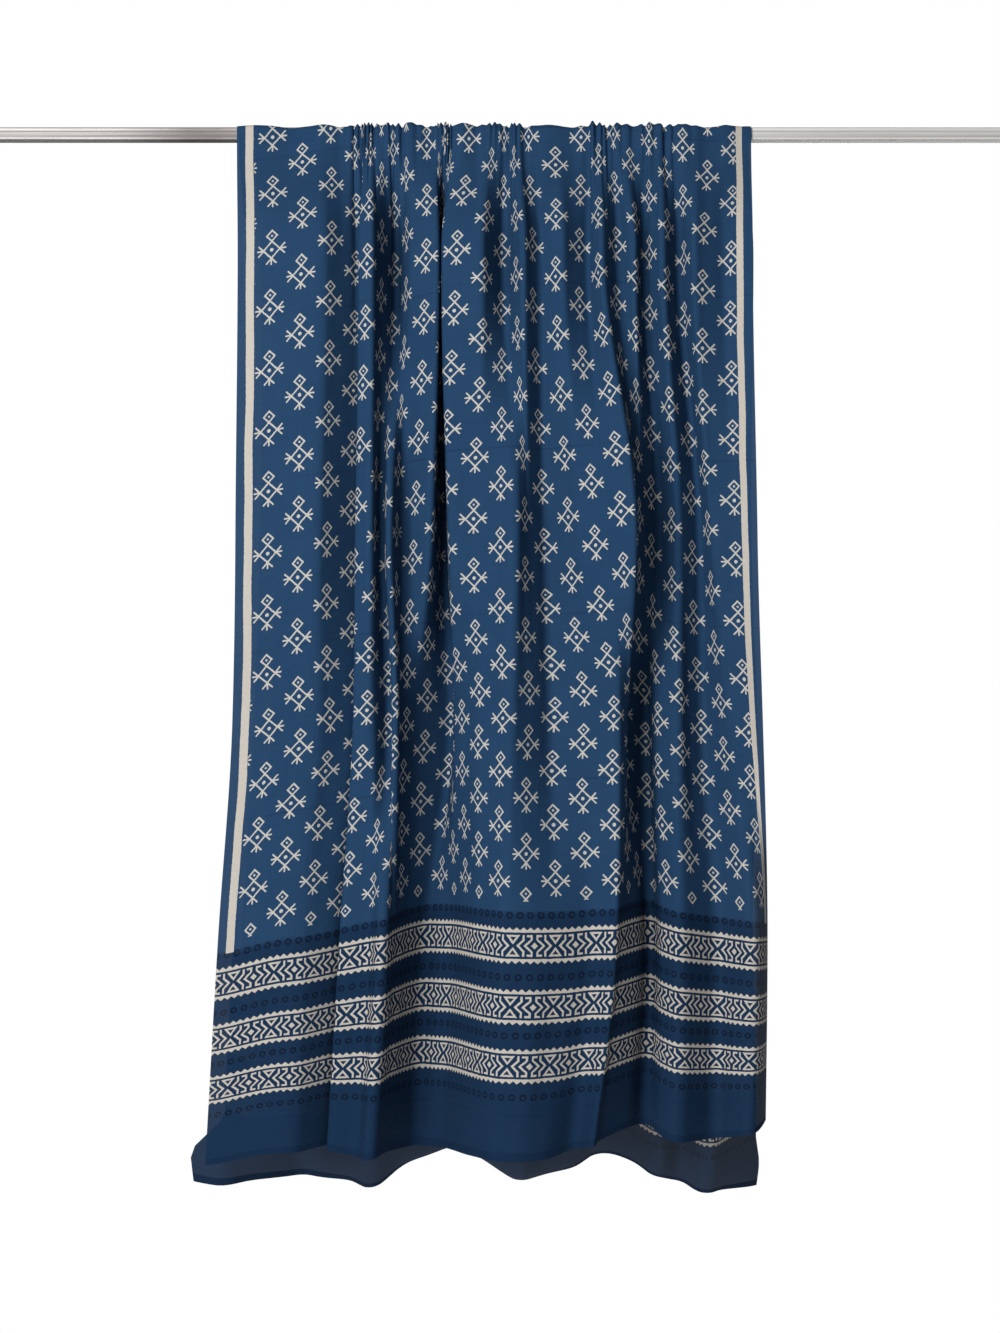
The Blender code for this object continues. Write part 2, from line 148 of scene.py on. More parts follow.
# One row a fold line of the front: how far across the cloth it lies, where it crosses the bar, from the
# bar's middle, and how far the gathers lift it off the bar (all mm).
ON_BAR = (
    (0, -309, 0.0), (105, -208, 0.3), (148, -172, 1.6), (178, -163, 0.2), (207, -158, 2.2),
    (225, -151, 0.4), (262, -139, 2.6), (300, -125, 0.5), (345, -105, 2.8), (385, -76, 0.2),
    (442, -65, 2.8), (494, -55, 0.6), (545, -13, 3.0), (590, 5, 0.4), (640, 21, 1.4),
    (672, 39, 0.2), (705, 71, 1.0), (745, 103, 0.2), (775, 117, 2.6), (808, 133, 0.5),
    (835, 146, 3.2), (868, 168, 0.5), (905, 188, 2.8), (940, 203, 0.3), (975, 232, 1.6),
    (1015, 264, 0.2), (1051, 295, 0.0),
)

# Across the cloth (mm): length of cloth in front of the bar; then at the front and at the back how far the
# border hangs lower than its length gives and how far the hem curls up; and how far the back hem swings
# to the right (all mm).
DROP = (
    (0, 1256, 15, 43, 0, -20, -48),
    (75, 1245, 5, 40, 0, -2, -30),
    (150, 1235, 7, 34, 0, 0, -14),
    (250, 1232, 8, 30, 0, 19, -4),
    (288, 1231, -1, 12, 0, 17, 0),
    (345, 1227, -6, 9, 0, 44, 0),
    (421, 1221, -3, -2, 0, 54, 0),
    (480, 1218, -6, 2, 0, 60, 0),
    (530, 1216, -7, 5, 0, 50, 0),
    (597, 1214, -7, 9, 0, 50, 0),
    (680, 1214, -5, 13, -12, 35, 0),
    (745, 1214, -11, 24, -33, 29, 0),
    (795, 1208, -6, 31, -30, 37, 0),
    (893, 1223, -11, 29, 5, 26, 0),
    (950, 1227, -4, 36, 8, 24, 0),
    (1003, 1230, -8, 51, 8, 11, 4),
    (1051, 1230, -2, 63, 4, -1, 8),
)

# Creases worked into the cloth, listed one by one. Each is a straight soft trough or ridge on the flat cloth,
# from one
# place to another: mm across, mm of cloth below the bar (negative at the back), the same two at its other
# end, its height (mm, negative inwards), its half width (mm), and 1 if it starts at its full height.
CREASES = (
    (2, 23, 150, 22, -1.3, 3, 0),
    (520, 22, 640, 23, -1.2, 3, 0),
    (945, 22, 1048, 23, -1.2, 3, 0),
    (20, 6, 34, 150, 1.6, 16, 1),
    (66, 6, 60, 240, -1.8, 14, 1),
    (104, 4, 96, 330, 2.2, 12, 1),
    (131, 4, 128, 210, -2.4, 7, 1),
    (149, 4, 150, 340, -5.0, 4, 1),
    (60, 330, 52, 700, -1.6, 22, 0),
    (30, 640, 88, 1010, 2.0, 20, 0),
    (120, 700, 96, 1120, -2.2, 16, 0),
    (240, 4, 247, 170, -3.2, 5, 1),
    (283, 4, 290, 260, 2.4, 6, 1),
    (322, 4, 330, 120, -3.0, 5, 1),
    (348, 4, 352, 200, 2.6, 6, 1),
    (372, 4, 380, 90, -2.6, 5, 1),
    (405, 4, 412, 300, 2.2, 8, 1),
    (468, 4, 474, 160, -3.0, 5, 1),
    (508, 4, 506, 420, 2.4, 10, 1),
    (528, 4, 536, 190, -2.6, 6, 1),
    (566, 4, 572, 110, 2.4, 6, 1),
    (604, 4, 598, 300, -2.6, 8, 1),
    (622, 4, 640, 160, 2.0, 7, 1),
    (655, 4, 664, 360, -2.6, 9, 1),
    (690, 4, 682, 240, 1.8, 12, 1),
    (722, 4, 720, 330, -1.8, 12, 1),
    (758, 4, 764, 140, 2.6, 6, 1),
    (792, 4, 799, 95, -4.0, 5, 1),
    (820, 4, 826, 200, 2.6, 6, 1),
    (848, 4, 852, 130, -3.2, 5, 1),
    (886, 4, 880, 240, 2.6, 7, 1),
    (918, 4, 921, 135, -4.2, 5, 1),
    (955, 4, 960, 300, 2.4, 9, 1),
    (990, 4, 982, 420, -2.2, 11, 1),
    (1018, 4, 1024, 300, 1.6, 10, 1),
    (540, 380, 552, 620, -1.6, 9, 0),
    (612, 330, 588, 760, 2.2, 16, 0),
    (672, 420, 652, 900, -2.4, 14, 0),
    (706, 300, 716, 760, 2.0, 14, 0),
    (640, 640, 700, 700, -1.0, 7, 0),
    (560, 860, 640, 820, 1.2, 8, 0),
    (940, 500, 926, 940, -2.0, 12, 0),
    (1000, 420, 1016, 900, 1.8, 12, 0),
    (560, 940, 572, 1200, 2.4, 14, 0),
    (660, 960, 648, 1200, -2.4, 14, 0),
    (980, 980, 970, 1210, 2.2, 12, 0),
    (60, 1010, 40, 1230, -2.6, 16, 0),
    (40, -6, 52, -300, 2.2, 12, 1),
    (300, -6, 310, -260, -2.6, 8, 1),
    (520, -6, 512, -340, 2.6, 9, 1),
    (760, -6, 770, -280, -2.6, 8, 1),
    (930, -6, 918, -360, 2.4, 10, 1),
    (220, -500, 240, -900, 3.0, 20, 0),
    (640, -560, 610, -980, -3.0, 22, 0),
    (860, -480, 880, -860, 3.0, 20, 0),
)
# the small gathers on the bar (mm)
GATHER_HIGH = 4.6       # how high they stand
GATHER_WIDE = 19.0      # how much cloth each takes
GATHER_REACH = 62.0     # how far they run down

# ---- the studio: metres, x from the bar's middle ----
FLOOR_Z = -1.78
FLOOR_BOX = (-3, -2.45, 3, 0.9)
WORLD_LIGHT = 0.09
AIM_Z = -0.6
CAMERA_Y = -2.2
CAMERA_Z = -0.627
LENS = 50.35            # mm
# name, place, side and power
LIGHTS = (
    ("key", (-1.45, -2.75, 0.3), 1.7, 124),
    ("fill", (2.2, -2.2, -0.2), 2.0, 2),
    ("rear", (1.2, 2.8, 0.4), 2.0, 50),
)

# ---- the mesh ----
COLUMNS_A_FOLD = 15
FRONT_ROWS = 128
BACK_ROWS = 92
ROW_CROWDING = 1.05     # over 1, the rows stand closer together near the bar
BAR_STEPS = tuple(np.round(np.linspace(0, 30, 14), 2))      # mm of cloth from the bar's top to the first rows


def smooth_across(values, ease):
    """A running average over this many mm of cloth, weighted by one raised wave of a cosine."""
    weights = np.hanning(ease + 3)[1:-1]
    weights /= weights.sum()
    half = len(weights) // 2
    return np.convolve(np.pad(values, half, mode="edge"), weights, mode="valid")[:len(values)]


def fold_headings(lines, ease, crisp):
    """The heading, in degrees, at each mm across the cloth at one height.

    Between two fold lines the cloth heads by the angle whose cosine is the share of its length that it
    covers along the bar. The bends are then eased, and the angles corrected until the lines are in place.
    Where crisp is set, the bends between the places in CRISP are eased less.
    """
    across, place, way = np.array(lines, float).T
    at = np.arange(0.0, across[-1] + 1.0)
    share = np.diff(place) / np.diff(across)
    aim = share.copy()
    span = np.clip(np.searchsorted(across, at, side="right") - 1, 0, len(share) - 1)
    within = np.minimum(at - CRISP[0] + CRISP_FADE, CRISP[1] + CRISP_FADE - at)
    nearness = np.clip(within / CRISP_FADE, 0, 1)
    for _ in range(WALKS):
        angle = np.degrees(np.arccos(np.clip(aim, WALK_LEAST, WALK_MOST))) * way[1:]
        heading = smooth_across(angle[span], ease)
        if crisp:
            sharp = smooth_across(angle[span], CRISP_EASE)
            heading = heading + (sharp - heading) * nearness
        got = np.diff(np.interp(across, at, walked(np.cos(np.radians(heading)), at)))
        aim = np.clip(aim + WALK_SHARE * (share - got / np.diff(across)), WALK_LEAST, WALK_MOST)
    return at, heading


def walked(rate, at):
    """The running sum of a rate over the places it is given at."""
    steps = (rate[1:] + rate[:-1]) / 2 * np.diff(at)
    return np.concatenate([[0.0], np.cumsum(steps)])


def blend_levels(values, depth):
    """Values given at LEVELS, at any depths: a smooth curve down each column that never overshoots them.

    The curve is the cubic through two neighbouring levels, with their slopes. A level's slope is the harmonic
    mean of the rises on its two sides, or none where these differ in sign.
    """
    levels = np.array(LEVELS)
    rise = np.diff(values, axis=0) / np.diff(levels)[:, None]
    slope = np.zeros_like(values)
    both = rise[:-1] * rise[1:]
    mean = 2 * both / np.where(both > 0, rise[:-1] + rise[1:], 1)
    slope[1:-1] = np.where(both > 0, mean, 0)
    slope[-1] = rise[-1]
    depth = np.clip(depth, levels[0], levels[-1])
    cell = np.clip(np.searchsorted(levels, depth, side="right") - 1, 0, len(rise) - 1)
    size = np.diff(levels)[cell]
    t = (depth - levels[cell]) / size
    column = np.arange(values.shape[1])
    return (
        (1 + 2 * t) * (1 - t) ** 2 * values[cell, column]
        + t * (1 - t) ** 2 * size * slope[cell, column]
        + t * t * (3 - 2 * t) * values[cell + 1, column]
        + t * t * (t - 1) * size * slope[cell + 1, column]
    )


def folded_layer(folds, leans, column=None, across=None):
    """Across, x and y (mm) of one layer at each of LEVELS, walked along its headings from the left edge.

    Its columns follow the fold lines, or else they keep to fixed places across the cloth.
    """
    layers = []
    for level, (lean, ease) in enumerate(zip(leans, EASES)):
        lines = [row[level] for row in folds]
        at, heading = fold_headings(lines, ease, across is None)
        place = across
        if across is None:
            place = np.interp(column, np.arange(len(folds)), [line[0] for line in lines])
        x = lines[0][1] + walked(np.cos(np.radians(heading)), at)
        y = lean + walked(np.sin(np.radians(heading)), at)
        layers.append((place, np.interp(place, at, x), np.interp(place, at, y)))
    return [np.array(values) for values in zip(*layers)]


def over_bar(length):
    """y and z (mm) of the cloth's middle at this length from the bar's top: flat, round the edge, down.

    Round the edge it is a quarter of an ellipse, from EDGE_FLAT out to the gaps above and beside the bar.
    """
    half = BAR_SIDE * 500
    top = half + (SEAT_GAP + CLOTH_THICK / 2) * 1000
    side = half + (SIDE_GAP + CLOTH_THICK / 2) * 1000
    turn = np.linspace(0, np.pi / 2, 41)
    y = np.concatenate([[0], EDGE_FLAT + (side - EDGE_FLAT) * np.sin(turn), [side]])
    z = np.concatenate([[top], EDGE_FLAT + (top - EDGE_FLAT) * np.cos(turn), [EDGE_FLAT - 2000]])
    run = np.concatenate([[0], np.cumsum(np.hypot(np.diff(y), np.diff(z)))])
    return np.interp(length, run, y), np.interp(length, run, z)


def eased(value):
    """0 to 1 as the value goes 0 to 1, level at both ends: three times its square less twice its cube."""
    value = np.clip(value, 0, 1)
    return value * value * (3 - 2 * value)


def hem_table():
    """The rows of DROP at each mm across the cloth, their corners smoothed, under a row of the places."""
    table = np.array(DROP, float).T
    at = np.arange(0.0, table[0, -1] + 1.0)
    rows = [smooth_across(np.interp(at, table[0], row), HEM_EASE) for row in table[1:]]
    return np.array([at, *rows])


def hung_layer(folds, leans, front, column, share):
    """Mid surface (mm) of the cloth on one side of the bar, as across, along, x, y and z [row, column].

    Its rows are those of BAR_STEPS and then one for each share of the way from there to the hem. The cloth
    sags by the square of the share of the way down to its border, and curls and swings by the square of the
    share of its last stretch above the hem. From the bar to the first of LEVELS its path changes smoothly
    from straight over the bar to the folds. A row's depth and its place across the cloth depend on each
    other, so they are worked out three times over.
    """
    bar_across, bar_x, bar_lift = np.array(ON_BAR, float).T
    at_bar = np.interp(column, np.arange(len(bar_across)), bar_across)
    levels = folded_layer(folds, leans, column if front else None, None if front else at_bar)
    table = hem_table()
    side = -1 if front else 1
    reach = (LIFT_FROM if front else SWING_FROM) * 1000
    steps = np.array(BAR_STEPS)[:, None]
    across = np.repeat(at_bar[None, :], len(steps) + len(share), axis=0)
    for _ in range(3):
        length, *both, sideways = [np.interp(across, table[0], row) for row in table[1:]]
        drop = length if front else CLOTH_LENGTH * 1000 - length
        sag, curl = both[:2] if front else both[2:]
        below = steps[-1] + share[:, None] * (drop[len(steps):] - steps[-1])
        run = np.concatenate([np.repeat(steps, below.shape[1], axis=1), below])
        out, z = over_bar(run)
        near_hem = np.clip(1 - (drop - run) / reach, 0, 1) ** 2
        z = z + curl * near_hem
        z = z - sag * np.clip(run / (drop - BORDER_TOP * 1000), 0, 1) ** 2
        depth = -z / 1000
        across = blend_levels(levels[0], depth)
    start = BAR_SIDE * HANG_FROM
    hanging = eased((depth - start) / (LEVELS[0] - start))
    lift = np.interp(at_bar, bar_across, bar_lift)
    rounding = out / out.max()
    x = np.interp(at_bar, bar_across, bar_x) * (1 - hanging) + blend_levels(levels[1], depth) * hanging
    y = side * (out + lift * rounding) * (1 - hanging) + blend_levels(levels[2], depth) * hanging
    if not front:
        x = x + sideways * eased((np.sqrt(near_hem) - SWAY_FROM) / SWAY_OVER)
        y = y + SWING * near_hem
    z = z + lift * (1 - rounding)
    along = length - run if front else length + run
    return np.array([across, along, x, y, z])


def outward(points):
    """The unit normal at each point of a grid: the cross product of its steps along rows and columns."""
    normal = np.cross(np.gradient(points, axis=1), np.gradient(points, axis=0))
    return normal / np.linalg.norm(normal, axis=-1, keepdims=True)


def crease_heights(across, below):
    """The sum of the listed creases (mm).

    Each falls off from its line as e to the power of minus the square of distance over half width. Along its
    line it rises and falls as half a sine wave, or it starts full and fades.
    """
    height = np.zeros_like(across)
    for across_one, below_one, across_two, below_two, high, wide, full in CREASES:
        run = across_two - across_one
        fall = below_two - below_one
        reached = (across - across_one) * run + (below - below_one) * fall
        share = np.clip(reached / (run**2 + fall**2), 0, 1)
        away = np.hypot(across - across_one - share * run, below - below_one - share * fall)
        fade = (1 - share) ** 1.3 if full else np.sin(np.pi * share)
        height += high * fade * np.exp(-((away / wide) ** 2))
    return height


def gather_heights(across, below):
    """Small gathers (mm) where the cloth is pushed together along the bar, fading down the cloth.

    They are ridges of squared sines, of uneven width. Each is as high as the share of the cloth's width that
    the bar takes away there.
    """
    bar_across, bar_x, _ = np.array(ON_BAR, float).T
    middle = (bar_across[1:] + bar_across[:-1]) / 2
    pushed = np.interp(across, middle, 1 - np.diff(bar_x) / np.diff(bar_across))
    turn = across / GATHER_WIDE + 0.35 * np.sin(across / 31.0) + 0.3 * np.sin(across / 13.0 + 2.0)
    reach = GATHER_REACH * (1 + 0.45 * np.sin(across / 23.0))
    ridge = np.sin(np.pi * turn) ** 2 * (0.75 + 0.25 * np.sin(across / 17.0 + 1.0))
    return GATHER_HIGH * eased(pushed * 1.5) * ridge * np.exp(-((np.abs(below) / reach) ** 1.5))


def cloth_middle():
    """The whole cloth (mm), in rows from the front hem to the back hem: across, along, x, y and z."""
    spans = len(FRONT_FOLDS) - 1
    column = np.linspace(0, spans, spans * COLUMNS_A_FOLD + 1)
    share_front = np.linspace(0, 1, FRONT_ROWS + 1)[1:] ** ROW_CROWDING
    share_back = np.linspace(0, 1, BACK_ROWS + 1)[1:] ** ROW_CROWDING
    front = hung_layer(FRONT_FOLDS, FRONT_LEAN, True, column, share_front)
    back = hung_layer(BACK_FOLDS, BACK_LEAN, False, column, share_back)
    across, along, x, y, z = np.concatenate([front[:, ::-1], back[:, 1:]], axis=1)
    length = np.interp(across, *hem_table()[:2])
    points = np.stack([x, y, z], axis=-1)
    relief = crease_heights(across, length - along) + gather_heights(across, length - along)
    points = points + relief[..., None] * outward(points)
    return np.array([across, along, *np.moveaxis(points, -1, 0)])


def surface_mesh(name, points, uv):
    """A mesh object over a grid of points [row, column], with the flat cloth's measures as its UV map."""
    rows, columns = points.shape[:2]
    place = np.arange(rows * columns).reshape(rows, columns)
    corners = [place[:-1, :-1], place[:-1, 1:], place[1:, 1:], place[1:, :-1]]
    quads = np.stack(corners, axis=-1).reshape(-1, 4)
    mesh = bpy.data.meshes.new(name)
    mesh.vertices.add(rows * columns)
    mesh.vertices.foreach_set("co", points.reshape(-1))
    mesh.loops.add(quads.size)
    mesh.loops.foreach_set("vertex_index", quads.reshape(-1))
    mesh.polygons.add(len(quads))
    mesh.polygons.foreach_set("loop_start", np.arange(len(quads)) * 4)
    mesh.update(calc_edges=True)
    mesh.polygons.foreach_set("use_smooth", np.ones(len(quads), bool))
    layer = mesh.uv_layers.new(name="flat_cloth")
    layer.data.foreach_set("uv", uv.reshape(-1, 2)[quads.reshape(-1)].reshape(-1))
    mesh.validate()
    made = bpy.data.objects.new(name, mesh)
    bpy.context.scene.collection.objects.link(made)
    return made


def math_method(operation, swapped=False):
    """A method of Num that adds a Math node on the number and what it is called with, or on those swapped."""

    def method(self, *others):
        values = (*others, self) if swapped else (self, *others)
        return self.board.math(operation, *values)

    return method


class Num:
    """A number socket in a node tree; arithmetic on it adds Math nodes."""

    def __init__(self, board, socket):
        self.board = board
        self.socket = socket

    __add__ = math_method("ADD")
    __radd__ = math_method("ADD", swapped=True)
    __sub__ = math_method("SUBTRACT")
    __rsub__ = math_method("SUBTRACT", swapped=True)
    __mul__ = math_method("MULTIPLY")
    __rmul__ = math_method("MULTIPLY", swapped=True)
    __truediv__ = math_method("DIVIDE")
    __rtruediv__ = math_method("DIVIDE", swapped=True)
    __mod__ = math_method("FLOORED_MODULO")
    __abs__ = math_method("ABSOLUTE")
    floor = math_method("FLOOR")
    least = math_method("MINIMUM")
    most = math_method("MAXIMUM")

    def __neg__(self):
        return self * -1.0

    def clamped(self):
        """The number, held between 0 and 1."""
        return self.board.math("ADD", self, 0.0, clamp=True)


class Board:
    """The node tree of one material, or of the world."""

    def __init__(self, owner):
        self.owner = owner
        owner.use_nodes = True
        self.tree = owner.node_tree
        self.tree.nodes.clear()

    def node(self, kind, settings=None, **inputs):
        """A new node. An input is called by its name, with _ for each space, or at0, at1 and so on."""
        made = self.tree.nodes.new(kind)
        for key, value in (settings or {}).items():
            setattr(made, key, value)
        for key, value in inputs.items():
            place = int(key[2:]) if key.startswith("at") else key.replace("_", " ")
            self.put(made.inputs[place], value)
        return made

    def put(self, socket, value):
        """Links a number or a socket to this socket, or sets its own value."""
        if isinstance(value, Num):
            value = value.socket
        if isinstance(value, bpy.types.NodeSocket):
            self.tree.links.new(value, socket)
        else:
            socket.default_value = value

    def math(self, operation, *values, clamp=False):
        """The result of a Math node."""
        inputs = {f"at{place}": value for place, value in enumerate(values)}
        made = self.node("ShaderNodeMath", {"operation": operation, "use_clamp": clamp}, **inputs)
        return Num(self, made.outputs[0])

    def hypot(self, a, b):
        """The square root of the sum of two squares."""
        return self.math("SQRT", a * a + b * b)

    def noise(self, vector, scale, detail=2.0, roughness=0.5):
        """Smooth noise, 0 to 1 about a half."""
        made = self.node("ShaderNodeTexNoise", {"noise_dimensions": "3D"},
                         Vector=vector, Scale=scale, Detail=detail, Roughness=roughness)
        return Num(self, made.outputs["Fac"])

    def vector(self, x, y, z=0.0):
        """A vector socket from its three parts."""
        return self.node("ShaderNodeCombineXYZ", X=x, Y=y, Z=z).outputs[0]

    def blend(self, share, low, high):
        """From one colour to another by a share; a colour is a socket or three numbers."""
        low, high = [(*colour, 1.0) if isinstance(colour, tuple) else colour for colour in (low, high)]
        return self.node("ShaderNodeMix", {"data_type": "RGBA"}, at0=share, at6=low, at7=high).outputs[2]

    def finished(self, shader, output="ShaderNodeOutputMaterial"):
        """The material or the world, with this shader as its surface."""
        self.node(output, Surface=shader)
        return self.owner


def inside(distance, soft=0.35):
    """1 where a distance in mm is under 0, and 0 where it is over, with a soft edge.

    It is a half less the distance over the softness, held between 0 and 1.
    """
    return (0.5 - distance / soft).clamped()


# ---- the print, all in mm on the flat cloth ----
SLANT = 0.7071          # the cosine of 45 degrees

# the field of motifs
FIELD_LEFT = 20.8       # left side of the first column
FIELD_RIGHT = 1030.5
COLUMN = 36.4           # from column to column
FIELD_ROW = 353.7       # from the hem up to the dot of the lowest whole motif of the first column
LOW_ROW = 61.65         # from row to row, up to the fifth
HIGH_ROW = 69.6         # and above it
LOW_ROWS = 4.0
FIELD_FROM = 300.5      # nothing of the field is printed closer to a hem
ROW_FOOT = 0.42         # the share of a row's step that belongs to the motif above it
MISPLACED = 2.0         # how much single stamps vary in height
SLIP = 6.5              # the rows about SLIP_ROW stand this far to the right, fading over SLIP_OVER rows
SLIP_ROW = 2.8
SLIP_OVER = 1.4
HIGH_SLIP = 4.5         # and those above HIGH_SLIP_ROW this far
HIGH_SLIP_ROW = 10.0

# one motif, from the middle of its large diamond
LARGE = 9.8             # half that diamond's width
SMALL = 6.3             # half the small one's width
SMALL_UP = 16.3         # and its middle
LINE = 0.9              # half the width of their lines
PRONG = (13.3, 3.4)     # the middle and half the length of the straight prong
SLANTED = 4.0           # half the length of the slanted prongs
DOTS = (2.1, 1.25)      # the dots' radii

# the side stripes: the middle and half the width of each
STRIPES = ((15.5, 4.9), (1034.5, 4.3))
STRIPE_FROM = 287.0     # from the hem
STRIPE_SWAY = 4.0

# the border: from the hem up to the middle of each band and of each row of rings
BANDS = (251.0, 181.0, 112.5)
RINGS = (285.0, 215.0, 148.0, 76.0)
BORDER_DARK = 288.0     # below this the ground is darker
UNIT = 48.8             # from one hourglass to the next
UNIT_FROM = 22.0        # from the cloth's edge to the first
BAND_HIGH = 12.2        # half the height of the hourglasses and lines
WAIST = 1.5             # the hourglass's two halves meet this far above and below the band's middle
FLARE = (0.757, 0.797)  # how steeply its sides spread, and the cosine of their lean
HOURGLASS_LINE = 1.1    # half the width of its outline
BENT = (5.4, 6.4, 1.016)        # the bent line: its distance at the middle, where it bends, and how steeply
HOOKED = (13.6, 6.9, 1.087)     # the hooked line, the same
BAND_LINE = 1.65        # half the width of these lines
SLIM = (0.5, 5.6, 1.4)  # they thin by this much, from this height, over this much
HOOK_HIGH = (11.0, 1.15)        # the hook's middle and half its thickness
HOOK_OUT = (18.6, 2.9)  # its middle and half its length
DIAMOND = 3.9           # half the width of the small solid diamonds
TOOTH = 8.15            # from tooth to tooth
TOOTH_LINE = (14.9, 17.2)       # the toothed line's inner side, and its outer side between the teeth
TOOTH_HIGH = 3.4
RING_STEP = 12.3        # from ring to ring
RING_FROM = 6.0         # from the cloth's edge to where the first step starts
RING = (3.0, 1.1)       # a ring's radius and half its line
HEM_WIDE = 10.0         # the turned hem
PACKED_FROM = 54.6      # from the hem to the first crease of its packing
PACKED_STEP = 191.3     # and from each to the next
UNEVEN = 0.9            # how much the printed lines wander

# ---- the colours, each from its dark to its light, or one where it doesn't vary ----
INDIGO = ((0.0100, 0.036, 0.088), (0.0190, 0.056, 0.123))
BORDER_INDIGO = (0.0026, 0.0125, 0.0370)
# the turned hem's darker indigo, also used as painted shade along the packing creases
HEM_INDIGO_AND_CREASE_SHADE = (0.0026, 0.0110, 0.0330)
RING_INDIGO = (0.0030, 0.0080, 0.0220)
THIN_CREAM = ((0.415, 0.400, 0.370), (0.505, 0.490, 0.457))     # the motifs
WIDE_CREAM = ((0.424, 0.392, 0.347), (0.517, 0.479, 0.428))     # the stripes and bands
GLOW = (0.22, 0.24, 0.27)       # of light that comes through the cloth
# the steel, dark to light; its light end also paints the bar's highlights and its lighter underside
STEEL = ((0.44, 0.42, 0.405), (0.86, 0.85, 0.84))
STEEL_LEFT_SHADE = ((0.17, 0.155, 0.15), (0.46, 0.44, 0.43))          # the bar's left end, darkened with painted shade
# a nearly black patch on the bar's left end, next to the cloth
STEEL_DARK_PATCH = (0.075, 0.06, 0.055)
FLOOR_GREY = (0.85, 0.85, 0.85, 1)
GLOWING = 0.035         # share of the light that comes through the cloth
SHEER = 0.012           # share of what is behind that shows between the threads


def nearest(place, lines):
    """The distance from a place to the nearest of these lines: the least of the distances to each."""
    found = abs(place - lines[0])
    for line in lines[1:]:
        found = found.least(abs(place - line))
    return found


def field_motif(board, x, y):
    """Two diamonds, one on the other's point, with dots, and three-pronged forks at the lower one's ends.

    A diamond is where the distances across and up add up to its half width. A prong is the distance to a
    stretch of straight line, measured along it and aside from it.
    """
    wide = abs(x)
    high = abs(y)
    large = abs(wide + high - LARGE) * SLANT
    small = abs(wide + abs(y - SMALL_UP) - SMALL) * SLANT
    line = large.least(small)
    for out, over in ((wide, high), (-y, wide)):
        straight = board.hypot((abs(out - PRONG[0]) - PRONG[1]).most(0.0), over)
        along = (out - LARGE + over) * SLANT
        aside = (out - LARGE - over) * SLANT
        slanted = board.hypot((abs(along - SLANTED) - SLANTED).most(0.0), aside)
        line = line.least(straight).least(slanted)
    dots = (board.hypot(x, y) - DOTS[0]).least(board.hypot(x, y - SMALL_UP) - DOTS[1])
    return inside((line - LINE).least(dots))


def border_band(x, y, across):
    """Hourglasses between bent and hooked lines, with small solid diamonds, between two toothed lines.

    x is from the hourglass's middle, y from the band's. The bent lines lean outwards as they leave the
    band's middle, and then run straight.
    """
    wide = abs(x)
    high = abs(y)
    triangle = (high - BAND_HIGH).most((wide - (high - WAIST) * FLARE[0]) * FLARE[1])
    hourglass = abs(triangle + HOURGLASS_LINE) - HOURGLASS_LINE
    slim = SLIM[0] * ((high - SLIM[1]) / SLIM[2]).clamped()
    bent, hooked = [
        abs(wide - middle - high.least(bend) * slope) + slim - BAND_LINE
        for middle, bend, slope in (BENT, HOOKED)
    ]
    hook = (abs(high - HOOK_HIGH[0]) - HOOK_HIGH[1]).most(abs(wide - HOOK_OUT[0]) - HOOK_OUT[1])
    lines = bent.least(hooked).most(high - BAND_HIGH).least(hook)
    diamond = (abs(wide - UNIT / 2) + high - DIAMOND) * SLANT
    tooth = abs(((across / TOOTH) % 1.0) - 0.5) * 2.0
    teeth = (TOOTH_LINE[0] - high).most(high - TOOTH_LINE[1] - TOOTH_HIGH * tooth)
    return inside(hourglass.least(lines).least(diamond).least(teeth))


def field_pattern(board, u, v, hem):
    """The field of motifs. Every other column is half a step lower, and the rows stand a little unevenly.

    A place's row counts steps of LOW_ROW from the lowest motif, and steps of HIGH_ROW above the fifth row.
    """
    turn = FIELD_ROW + LOW_ROWS * LOW_ROW
    row = (v - FIELD_ROW) / LOW_ROW - (v - turn).most(0.0) * (1 / LOW_ROW - 1 / HIGH_ROW)
    low_slip = SLIP * (1.0 - abs(row - SLIP_ROW) / SLIP_OVER).clamped()
    slip = low_slip + HIGH_SLIP * ((row - HIGH_SLIP_ROW) * 0.5).clamped()
    place = u - slip - FIELD_LEFT
    column = (place / COLUMN).floor()
    stagger = (column % 2.0) * 0.5
    step = (row + stagger + ROW_FOOT).floor() - stagger
    stamp = board.node("ShaderNodeTexWhiteNoise", {"noise_dimensions": "2D"},
                       Vector=board.vector(column, step))
    off_row = (Num(board, stamp.outputs[0]) - 0.5) * MISPLACED
    middle = FIELD_ROW + LOW_ROW * step + (HIGH_ROW - LOW_ROW) * (step - LOW_ROWS).most(0.0)
    motifs = field_motif(board, place % COLUMN - COLUMN / 2, v - middle - off_row)
    return motifs * inside(FIELD_FROM - hem) * inside(FIELD_LEFT - u) * inside(u - FIELD_RIGHT)


def stripe_pattern(board, uv, u, hem):
    """The two side stripes: less than half its width from a stripe's middle, which sways a little."""
    sway = (board.noise(uv, 9.0, 2.0) - 0.5) * STRIPE_SWAY
    left, right = [abs(u + sway - middle) - half for middle, half in STRIPES]
    return inside(left.least(right)) * inside(STRIPE_FROM - hem)


def ring_pattern(board, uv, u, hem):
    """Rows of dark rings, printed with uneven strength.

    A ring is where the distance from its middle differs from its radius by less than half its line.
    """
    ring_x = (u - RING_FROM) % RING_STEP - RING_STEP / 2
    ring = abs(board.hypot(ring_x, nearest(hem, RINGS)) - RING[0]) - RING[1]
    return inside(ring, 1.0) * (0.62 + 0.6 * board.noise(uv, 90.0, 2.0)).clamped()


def packing_creases(board, uv, v):
    """Faint creases straight across, where the cloth lay folded; they come and go along their length. Along
    them the bump is dented and the colour darkened with painted shade.
    """
    half = PACKED_STEP / 2
    away = abs((v - PACKED_FROM + half) % PACKED_STEP - half)
    return inside(away - 0.5, 1.6) * (board.noise(uv, 20.0) * 3.0 - 0.9).clamped()


